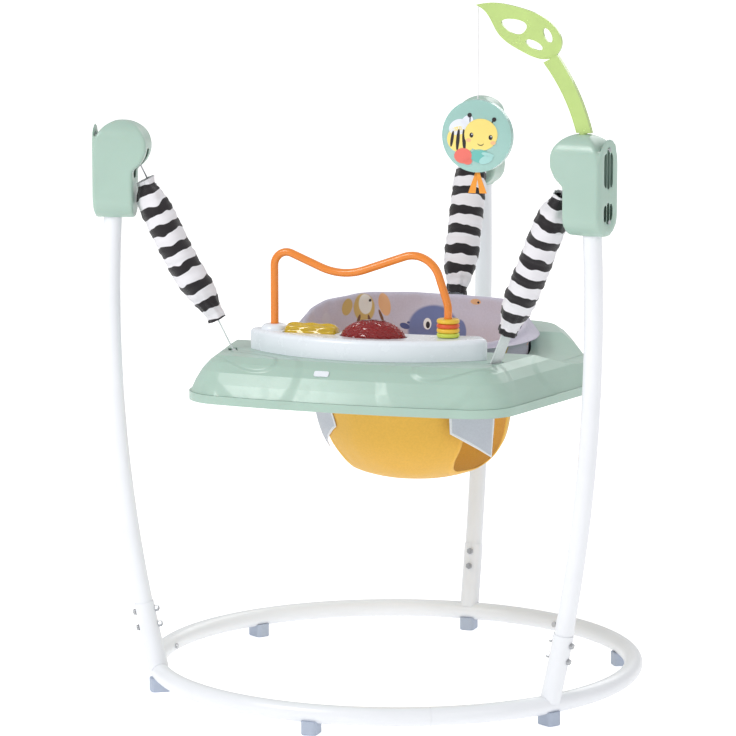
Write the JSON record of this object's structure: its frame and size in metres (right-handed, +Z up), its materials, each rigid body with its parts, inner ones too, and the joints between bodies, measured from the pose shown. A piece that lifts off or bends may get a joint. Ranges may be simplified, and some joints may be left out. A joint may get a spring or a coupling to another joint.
{
  "type": "baby jumper",
  "caption": "Baby jumper: a floor ring with three bowed posts, and an activity tray with a turning fabric seat hung from the post caps on sleeved springs.",
  "frame": {"origin": "on the floor under the middle of the whole object's box", "axes": "+Z up; the baby faces -Y, between the two front posts; +X is the right-hand side seen from the front"},
  "size_m": [0.88, 0.9187, 1.147],
  "materials": {
    "white_tube": "white powder coat",
    "dark_steel": "blackened zinc",
    "bright_steel": "zinc plate",
    "grey_foot": "matte grey-blue",
    "mint_plastic": "semi-gloss moulded",
    "zebra_fabric": "black and white knit",
    "webbing": "pale woven webbing",
    "white_plastic": "semi-gloss moulded",
    "grey_plastic": "matte acetal",
    "orange_plastic": "gloss",
    "yellow_bead": "gloss",
    "red_bead": "gloss",
    "lime_bead": "gloss",
    "yellow_clear": "translucent yellow",
    "red_clear": "translucent red",
    "lilac_print": "printed polyester",
    "yellow_fabric": "plain polyester",
    "flap_fabric": "coated polyester",
    "lime_clear": "translucent lime",
    "string": "twisted cord",
    "aqua_clear": "translucent aqua",
    "orange_ribbon": "satin ribbon"
  },
  "bodies": {
    "frame": {"ring_section_left": "white_tube", "ring_section_right": "white_tube", "ring_section_rear": "white_tube", "ring_screws": "dark_steel", "feet": "grey_foot", "post_stub_left": "white_tube", "post_stub_right": "white_tube", "post_stub_rear": "white_tube", "post_left": "white_tube", "post_right": "white_tube", "post_rear": "white_tube", "post_bolts": "dark_steel", "post_nuts": "dark_steel", "cap_body_left": "mint_plastic", "cap_body_right": "mint_plastic", "cap_body_rear": "mint_plastic", "cap_cover_left": "mint_plastic", "cap_cover_right": "mint_plastic", "cap_cover_rear": "mint_plastic", "cap_screws": "bright_steel", "hanger_pin_left": "bright_steel", "hanger_pin_right": "bright_steel", "hanger_pin_rear": "bright_steel", "spring_left": "bright_steel", "spring_right": "bright_steel", "spring_rear": "bright_steel", "sleeve_left": "zebra_fabric", "sleeve_right": "zebra_fabric", "sleeve_rear": "zebra_fabric", "leaf_arm": "lime_clear"},
    "tray": {"strap_left": "webbing", "strap_right": "webbing", "strap_rear": "webbing", "strap_rings": "bright_steel", "strap_bars": "bright_steel", "tray_upper": "mint_plastic", "tray_lower": "mint_plastic", "tray_screws": "bright_steel", "tray_badge": "white_plastic", "toy_panel": "white_plastic", "arch": "orange_plastic", "roller_axle": "bright_steel", "seat_glides": "grey_plastic", "dome_spring": "bright_steel"},
    "seat": {"seat_ring": "grey_plastic", "seat_lining": "lilac_print", "seat_bucket": "yellow_fabric", "leg_flaps": "flap_fabric"},
    "roller": {"roller": "yellow_clear"},
    "bead_1": {"bead_1": "lime_bead"},
    "bead_2": {"bead_2": "yellow_bead"},
    "bead_3": {"bead_3": "red_bead"},
    "bead_4": {"bead_4": "yellow_bead"},
    "dome": {"dome_button": "red_clear"},
    "string": {"pendant_string": "string"},
    "pendant": {"pendant_front": "aqua_clear", "pendant_back": "aqua_clear", "pendant_tag": "orange_ribbon"}
  },
  "joints": [
    {"name": "bounce", "type": "slide", "parent": "frame", "child": "tray", "axis": [0, 0, 1], "range_m": [-0.1, 0.02], "stiffness_N_per_m": 900, "springref_m": 0.05, "deforming": ["spring_left", "spring_right", "spring_rear", "sleeve_left", "sleeve_right", "sleeve_rear"]},
    {"name": "seat_spin", "type": "hinge", "parent": "tray", "child": "seat", "pos_m": [0, 0.05337, 0.526], "axis": [0, 0, 1], "continuous": true},
    {"name": "roller_spin", "type": "hinge", "parent": "tray", "child": "roller", "pos_m": [-0.09, -0.19463, 0.6012], "axis": [1, 0, 0], "continuous": true},
    {"name": "bead_spin_1", "type": "hinge", "parent": "tray", "child": "bead_1", "pos_m": [0.139, -0.18163, 0.61], "axis": [0, 0, 1], "continuous": true},
    {"name": "bead_spin_2", "type": "hinge", "parent": "tray", "child": "bead_2", "pos_m": [0.139, -0.18163, 0.6177], "axis": [0, 0, 1], "continuous": true},
    {"name": "bead_spin_3", "type": "hinge", "parent": "tray", "child": "bead_3", "pos_m": [0.139, -0.18163, 0.6254], "axis": [0, 0, 1], "continuous": true},
    {"name": "bead_spin_4", "type": "hinge", "parent": "tray", "child": "bead_4", "pos_m": [0.139, -0.18163, 0.6331], "axis": [0, 0, 1], "continuous": true},
    {"name": "dome_press", "type": "slide", "parent": "tray", "child": "dome", "axis": [0, 0, 1], "range_m": [-0.004, 0], "stiffness_N_per_m": 900, "springref_m": 0.005, "deforming": ["dome_spring"]},
    {"name": "string_swing", "type": "hinge", "parent": "frame", "child": "string", "pos_m": [0.2165, -0.2708, 1.1391], "axis": [1, 0, 0], "range_deg": [-30, 30]},
    {"name": "pendant_spin", "type": "hinge", "parent": "string", "child": "pendant", "pos_m": [0.2165, -0.2708, 0.99], "axis": [0, 0, 1], "continuous": true}
  ]
}
